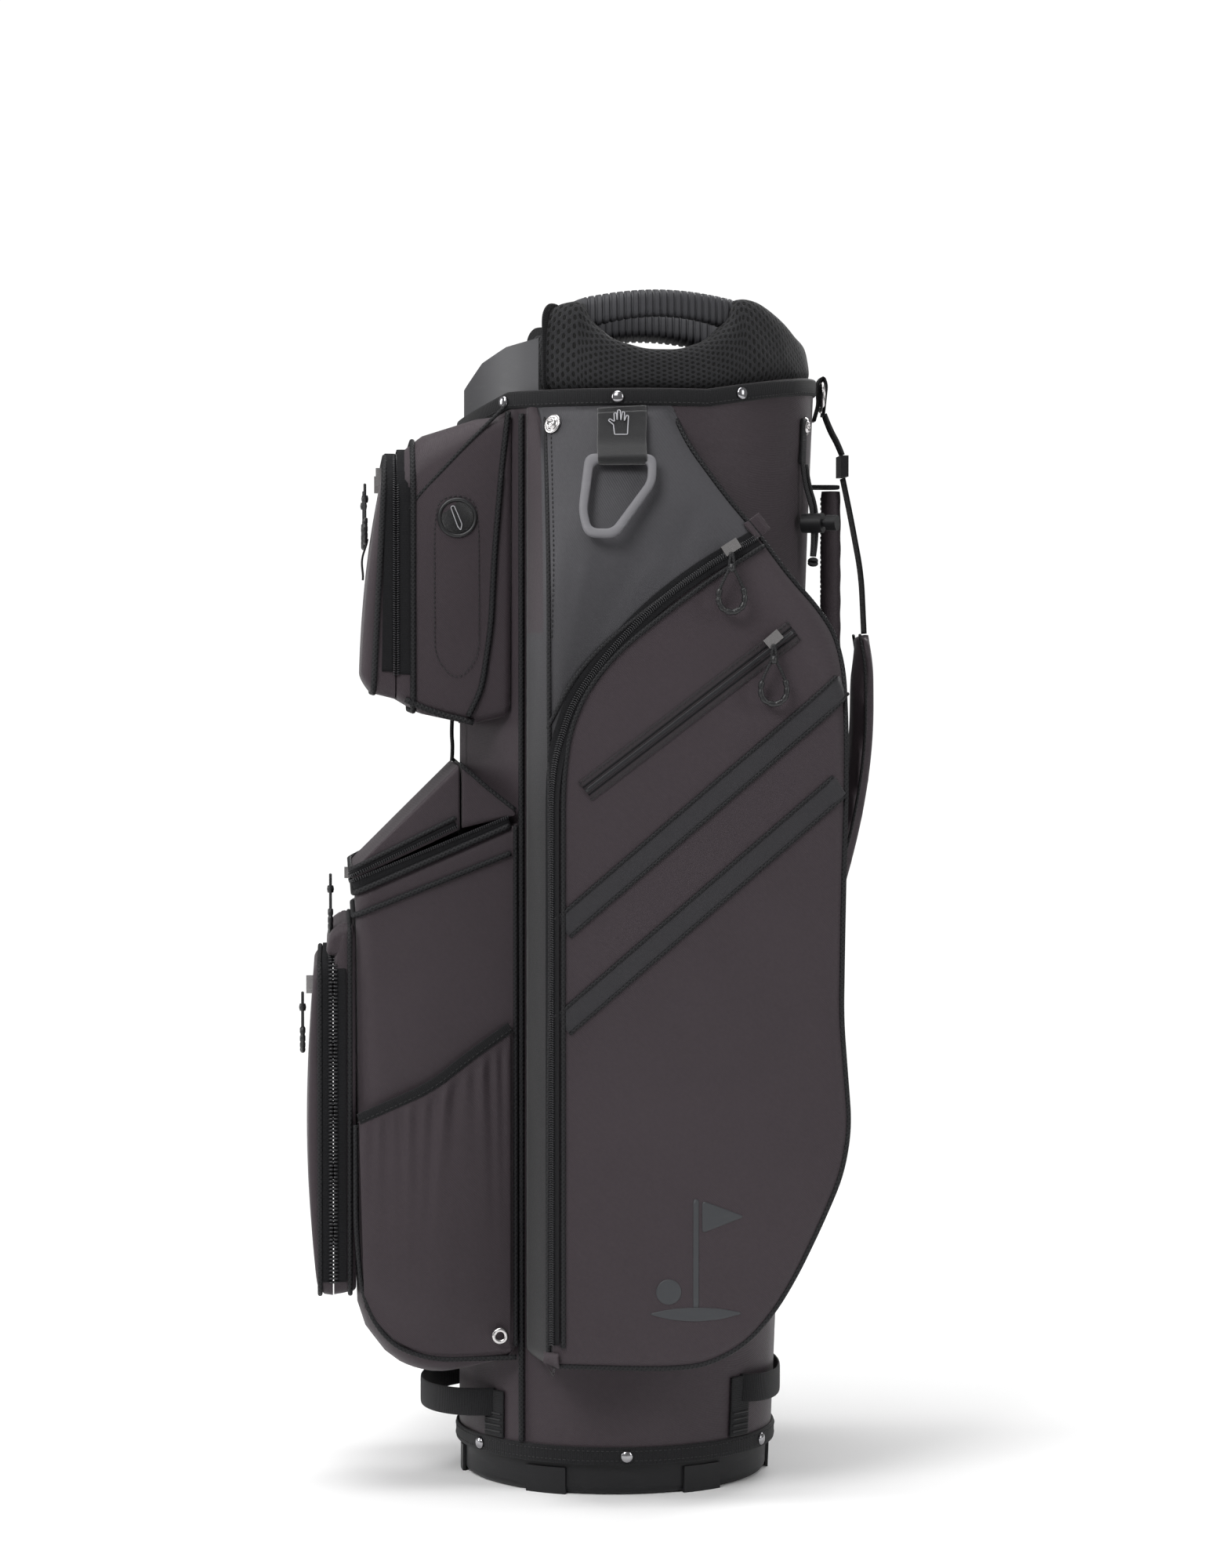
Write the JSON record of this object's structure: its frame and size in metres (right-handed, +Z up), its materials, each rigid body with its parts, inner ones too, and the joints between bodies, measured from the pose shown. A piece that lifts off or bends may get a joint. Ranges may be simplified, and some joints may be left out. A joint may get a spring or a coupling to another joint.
{
  "type": "golf cart bag",
  "caption": "Upright cart golf bag: tapered tube with divided mouth, padded collar, side grips, zipped pockets with hinged doors, gear ring, cord lock loop, carry handle and shoulder strap.",
  "frame": {"origin": "centre of the base's flat underside, on the tube axis at the base", "axes": "+Z up along the tube, front pockets towards -Y, shoulder strap towards +Y, +X towards the side with the gear ring"},
  "size_m": [0.3617, 0.441, 0.8983],
  "materials": {
    "tube_fabric": "charcoal coated woven polyester, matt",
    "grey_fabric": "mid-grey coated woven polyester, matt",
    "webbing": "black ribbed webbing",
    "mesh": "black spacer mesh over foam",
    "cord": "black braided cord",
    "base_plastic": "black moulded plastic, fine texture",
    "grey_plastic": "grey moulded plastic, satin",
    "grip_rubber": "dark grey ribbed rubber",
    "pull_rubber": "black moulded rubber",
    "gunmetal": "gunmetal, polished",
    "divider": "padded fleece on divider bars",
    "stay": "fibreglass rod"
  },
  "bodies": {
    "bag": {"base_cup": "base_plastic", "base_feet": "base_plastic", "body_shell": "tube_fabric", "stay_rods": "stay", "top_ring": "grey_plastic", "divider_bars": "divider", "divider_panels": "divider", "collar_pad": "mesh", "grip_right": "grip_rubber", "grip_left": "grip_rubber", "upper_binding": "webbing", "lower_binding": "webbing", "rim_rivets": "gunmetal", "base_rivets": "gunmetal", "spine_pipings": "cord", "hood_snaps": "gunmetal", "side_pocket_right": "tube_fabric", "side_pocket_left": "tube_fabric", "side_sliders": "gunmetal", "valuables_pocket": "tube_fabric", "pen_ring": "base_plastic", "lower_pocket": "tube_fabric", "lid_hinge_panel": "tube_fabric", "front_pocket": "tube_fabric", "side_pouches": "tube_fabric", "drain_eyelets": "gunmetal", "gear_tab": "webbing", "umbrella_cords": "cord", "umbrella_knot": "cord", "cord_lock": "base_plastic", "back_tabs": "webbing", "strap_rings": "gunmetal", "strap_cords": "cord", "strap_adjuster": "base_plastic", "strap_webbing": "webbing", "strap_pad": "tube_fabric", "front_base_handle": "webbing", "rear_base_handle": "webbing", "pocket_cord": "cord"},
    "valuables_door": {"valuables_door": "tube_fabric", "door_loop": "webbing", "valuables_sliders": "gunmetal"},
    "lid": {"lid": "tube_fabric", "lid_slider": "gunmetal"},
    "front_door": {"front_door": "tube_fabric", "front_slider": "gunmetal"},
    "gear_ring": {"gear_ring": "grey_plastic"},
    "lock_plunger": {"lock_plunger": "base_plastic"},
    "carry_handle": {"carry_handle": "tube_fabric"},
    "welt_slider_right": {"welt_slider_right": "gunmetal"},
    "welt_slider_left": {"welt_slider_left": "gunmetal"},
    "side_pull_right": {"side_pull_right": "pull_rubber"},
    "side_pull_left": {"side_pull_left": "pull_rubber"},
    "welt_pull_right": {"welt_pull_right": "pull_rubber"},
    "welt_pull_left": {"welt_pull_left": "pull_rubber"},
    "valuables_pull_right": {"valuables_pull_right": "pull_rubber"},
    "valuables_pull_left": {"valuables_pull_left": "pull_rubber"},
    "lid_pull": {"lid_pull": "pull_rubber"},
    "front_pull": {"front_pull": "pull_rubber"}
  },
  "joints": [
    {"name": "valuables_door_hinge", "type": "hinge", "parent": "bag", "child": "valuables_door", "pos_m": [0, -0.1698, 0.593], "axis": [1, 0, 0], "range_deg": [0, 60]},
    {"name": "lid_hinge", "type": "hinge", "parent": "bag", "child": "lid", "pos_m": [0, -0.122, 0.545], "axis": [-1, 0, 0], "range_deg": [0, 55]},
    {"name": "front_door_hinge", "type": "hinge", "parent": "bag", "child": "front_door", "pos_m": [0, -0.2168, 0.146], "axis": [1, 0, 0], "range_deg": [0, 75]},
    {"name": "valuables_pull_right_swing", "type": "hinge", "parent": "valuables_door", "child": "valuables_pull_right", "pos_m": [0.0589, -0.18696, 0.757], "axis": [-1, 0, 0], "range_deg": [0, 70]},
    {"name": "valuables_pull_left_swing", "type": "hinge", "parent": "valuables_door", "child": "valuables_pull_left", "pos_m": [-0.0589, -0.18696, 0.757], "axis": [-1, 0, 0], "range_deg": [0, 70]},
    {"name": "lid_pull_swing", "type": "hinge", "parent": "lid", "child": "lid_pull", "pos_m": [0.055, -0.21106, 0.463], "axis": [-1, 0, 0], "range_deg": [0, 70]},
    {"name": "front_pull_swing", "type": "hinge", "parent": "front_door", "child": "front_pull", "pos_m": [0.0736, -0.23976, 0.376], "axis": [-1, 0, 0], "range_deg": [0, 80]},
    {"name": "side_pull_right_swing", "type": "hinge", "parent": "bag", "child": "side_pull_right", "pos_m": [0.17635, 0.073, 0.703], "axis": [0, -1, 0], "range_deg": [0, 80]},
    {"name": "side_pull_left_swing", "type": "hinge", "parent": "bag", "child": "side_pull_left", "pos_m": [-0.17635, 0.073, 0.703], "axis": [0, 1, 0], "range_deg": [0, 80]},
    {"name": "welt_slider_right_slide", "type": "slide", "parent": "bag", "child": "welt_slider_right", "axis": [0, -0.7597, -0.6503], "range_m": [0, 0.165]},
    {"name": "welt_pull_right_swing", "type": "hinge", "parent": "welt_slider_right", "child": "welt_pull_right", "pos_m": [0.17606, 0.104, 0.636], "axis": [0, -1, 0], "range_deg": [0, 80]},
    {"name": "welt_slider_left_slide", "type": "slide", "parent": "bag", "child": "welt_slider_left", "axis": [0, -0.7597, -0.6503], "range_m": [0, 0.165]},
    {"name": "welt_pull_left_swing", "type": "hinge", "parent": "welt_slider_left", "child": "welt_pull_left", "pos_m": [-0.17606, 0.104, 0.636], "axis": [0, 1, 0], "range_deg": [0, 80]},
    {"name": "gear_ring_swing", "type": "hinge", "parent": "bag", "child": "gear_ring", "pos_m": [0.15759, -0.00515, 0.77014], "axis": [-0.1392, -0.9903, 0], "range_deg": [0, 80]},
    {"name": "lock_plunger_press", "type": "slide", "parent": "bag", "child": "lock_plunger", "axis": [-0.4384, -0.8988, 0], "range_m": [0, 0.003], "stiffness_N_per_m": 300, "springref_m": -0.002},
    {"name": "carry_handle_swing", "type": "hinge", "parent": "bag", "child": "carry_handle", "pos_m": [0, 0.148, 0.66], "axis": [0, 0, 1], "range_deg": [-20, 20]}
  ]
}
